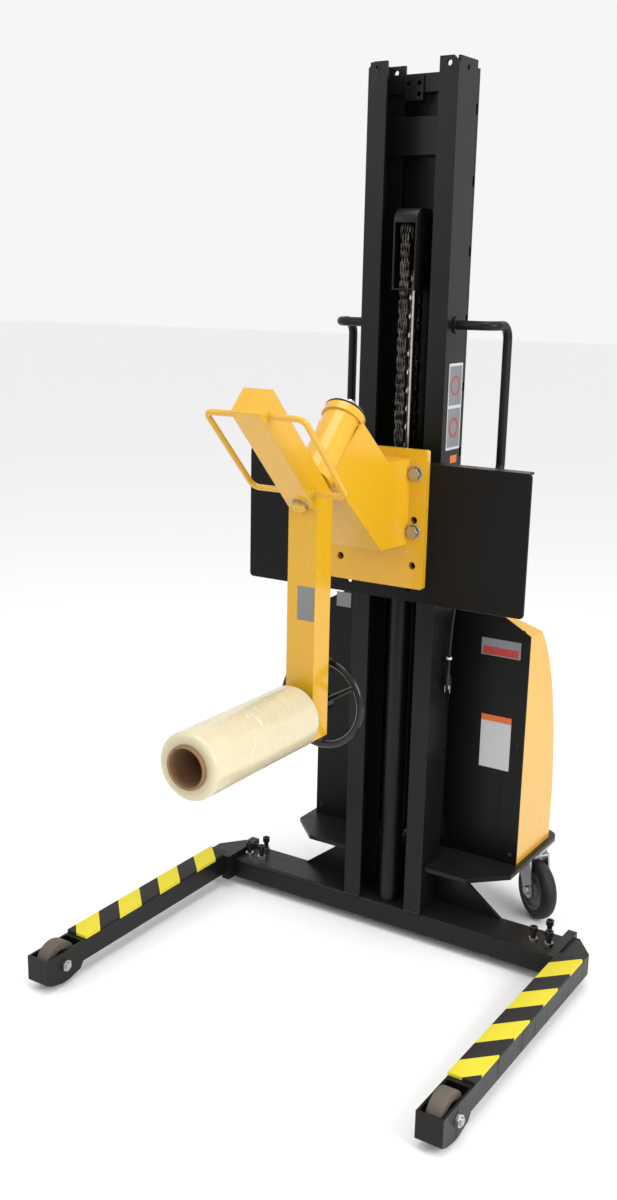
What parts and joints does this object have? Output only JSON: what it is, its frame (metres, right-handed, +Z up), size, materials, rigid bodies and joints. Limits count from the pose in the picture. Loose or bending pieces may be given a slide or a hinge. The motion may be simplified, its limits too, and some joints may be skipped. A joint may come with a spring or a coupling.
{
  "type": "stacker-mounted stretch film dispenser",
  "caption": "Straddle stacker with a chain-lifted carriage and a swinging arm that holds a stretch film roll.",
  "frame": {"origin": "centre of the machine's box, without the free cord, at floor level", "axes": "+X to the machine's right-hand side as seen from the film roll, +Y from the load wheels towards the cabinet, +Z up"},
  "size_m": [1.0443, 1.174, 1.981],
  "materials": {
    "aluminium": "machined",
    "battery_case": "moulded",
    "black_paint": "satin black powder coat",
    "black_steel": "black oxide",
    "cardboard": "brown cardboard",
    "caster_rubber": "semi-gloss black tread",
    "chain_steel": "oiled steel",
    "chrome": "hard chrome",
    "film": "clear stretch film, wound milky",
    "handwheel_black": "gloss black",
    "hood_paint": "gloss yellow enamel",
    "load_tread": "worn phenolic",
    "panel_paint": "satin black sheet metal",
    "pump_grey": "satin grey",
    "red_plastic": "gloss red",
    "rubber": "matt",
    "tie_white": "plain",
    "yellow_paint": "gloss ochre-yellow enamel",
    "zinc": "zinc plated"
  },
  "bodies": {
    "frame": {"base_beam": "black_paint", "mast_left": "black_paint", "mast_right": "black_paint", "mast_back_panel": "panel_paint", "mast_top_tie": "black_paint", "deck_plate": "black_paint", "deck_brace": "black_paint", "front_panel": "panel_paint", "cabinet_hood": "hood_paint", "battery": "battery_case", "pump_unit": "pump_grey", "charger": "pump_grey", "lift_cylinder": "black_paint", "cylinder_head": "black_steel", "chain_rear": "chain_steel", "push_handles": "black_paint", "clamp_screws": "black_steel", "clamp_nuts": "zinc", "caster_plates": "zinc", "cord_gland": "rubber", "cord_hook": "black_paint", "power_cord": "rubber", "cord_hank": "rubber", "power_plug": "rubber", "cord_tie": "tie_white", "control_box": "battery_case"},
    "lift_lever": {"lift_lever": "red_plastic"},
    "stop_button": {"stop_button": "red_plastic"},
    "lift_head": {"piston_rod": "chrome", "sheave_yoke": "black_paint", "sheave_cover": "black_paint", "chain_wrap": "chain_steel"},
    "chain_sheave": {"chain_sheave": "black_steel"},
    "carriage": {"carriage_plate": "panel_paint", "carriage_frame": "black_paint", "chain_front": "chain_steel", "pivot_bracket": "yellow_paint", "bracket_bolts": "zinc"},
    "upper_rollers": {"upper_rollers": "black_steel"},
    "lower_rollers": {"lower_rollers": "black_steel"},
    "arm": {"swing_arm": "yellow_paint", "hand_loops": "yellow_paint", "pivot_stud": "zinc"},
    "roll": {"mandrel": "aluminium", "grip_sleeves": "rubber", "stop_flange": "black_paint", "roll_core": "cardboard", "film_roll": "film"},
    "handwheel": {"handwheel": "handwheel_black", "drawbar": "zinc"},
    "leg_left": {"leg_left": "black_paint", "load_axle_left": "zinc"},
    "leg_right": {"leg_right": "black_paint", "load_axle_right": "zinc"},
    "load_wheel_left": {"load_wheel_left": "load_tread"},
    "load_wheel_right": {"load_wheel_right": "load_tread"},
    "caster_left": {"caster_fork_left": "zinc"},
    "caster_right": {"caster_fork_right": "zinc"},
    "caster_wheel_left": {"caster_wheel_left": "caster_rubber"},
    "caster_wheel_right": {"caster_wheel_right": "caster_rubber"}
  },
  "joints": [
    {"name": "rod_lift", "type": "slide", "parent": "frame", "child": "lift_head", "axis": [0, 0, 1], "range_m": [-0.25, 0.28], "deforming": ["chain_rear"]},
    {"name": "carriage_lift", "type": "slide", "parent": "lift_head", "child": "carriage", "axis": [0, 0, 1], "range_m": [-0.25, 0.28], "deforming": ["chain_front"]},
    {"name": "sheave_spin", "type": "hinge", "parent": "lift_head", "child": "chain_sheave", "pos_m": [0, 0.223, 1.64], "axis": [1, 0, 0], "range_deg": [-600, 600]},
    {"name": "upper_roller_spin", "type": "hinge", "parent": "carriage", "child": "upper_rollers", "pos_m": [0, 0.236, 1.114], "axis": [1, 0, 0], "range_deg": [-900, 900]},
    {"name": "lower_roller_spin", "type": "hinge", "parent": "carriage", "child": "lower_rollers", "pos_m": [0, 0.236, 0.906], "axis": [1, 0, 0], "range_deg": [-900, 900]},
    {"name": "arm_swing", "type": "hinge", "parent": "carriage", "child": "arm", "pos_m": [0, -0.2095, 1.1075], "axis": [0, 0.7071, 0.7071], "range_deg": [0, 180]},
    {"name": "roll_spin", "type": "hinge", "parent": "arm", "child": "roll", "pos_m": [0, -0.358, 0.669], "axis": [0, 1, 0], "continuous": true},
    {"name": "handwheel_turn", "type": "hinge", "parent": "roll", "child": "handwheel", "pos_m": [0, -0.108, 0.669], "axis": [0, 1, 0], "range_deg": [-720, 0]},
    {"name": "leg_slide_left", "type": "slide", "parent": "frame", "child": "leg_left", "axis": [-1, 0, 0], "range_m": [0, 0.18]},
    {"name": "leg_slide_right", "type": "slide", "parent": "frame", "child": "leg_right", "axis": [1, 0, 0], "range_m": [0, 0.18]},
    {"name": "load_wheel_left_spin", "type": "hinge", "parent": "leg_left", "child": "load_wheel_left", "pos_m": [-0.4835, -0.438, 0.05], "axis": [1, 0, 0], "continuous": true},
    {"name": "load_wheel_right_spin", "type": "hinge", "parent": "leg_right", "child": "load_wheel_right", "pos_m": [0.4835, -0.438, 0.05], "axis": [1, 0, 0], "continuous": true},
    {"name": "caster_left_swivel", "type": "hinge", "parent": "frame", "child": "caster_left", "pos_m": [-0.252, 0.508, 0.16], "axis": [0, 0, 1], "continuous": true},
    {"name": "caster_right_swivel", "type": "hinge", "parent": "frame", "child": "caster_right", "pos_m": [0.252, 0.508, 0.16], "axis": [0, 0, 1], "continuous": true},
    {"name": "caster_wheel_left_spin", "type": "hinge", "parent": "caster_left", "child": "caster_wheel_left", "pos_m": [-0.22091, 0.48283, 0.075], "axis": [0.6293, 0.7771, 0], "continuous": true},
    {"name": "caster_wheel_right_spin", "type": "hinge", "parent": "caster_right", "child": "caster_wheel_right", "pos_m": [0.28309, 0.48283, 0.075], "axis": [0.6293, 0.7771, 0], "continuous": true},
    {"name": "lever_tilt", "type": "hinge", "parent": "frame", "child": "lift_lever", "pos_m": [0, 0.3226, 1.15], "axis": [1, 0, 0], "range_deg": [-18, 18], "stiffness_Nm_per_rad": 4},
    {"name": "stop_press", "type": "slide", "parent": "frame", "child": "stop_button", "axis": [0, -1, 0], "range_m": [0, 0.006], "stiffness_N_per_m": 1500, "springref_m": -0.001}
  ],
  "couplings": [
    {"joint": "carriage_lift", "follows": "rod_lift", "ratio": 1},
    {"joint": "sheave_spin", "follows": "rod_lift", "rad_per_m": -35.714},
    {"joint": "upper_roller_spin", "follows": "rod_lift", "rad_per_m": 54.795},
    {"joint": "lower_roller_spin", "follows": "rod_lift", "rad_per_m": -54.795}
  ]
}
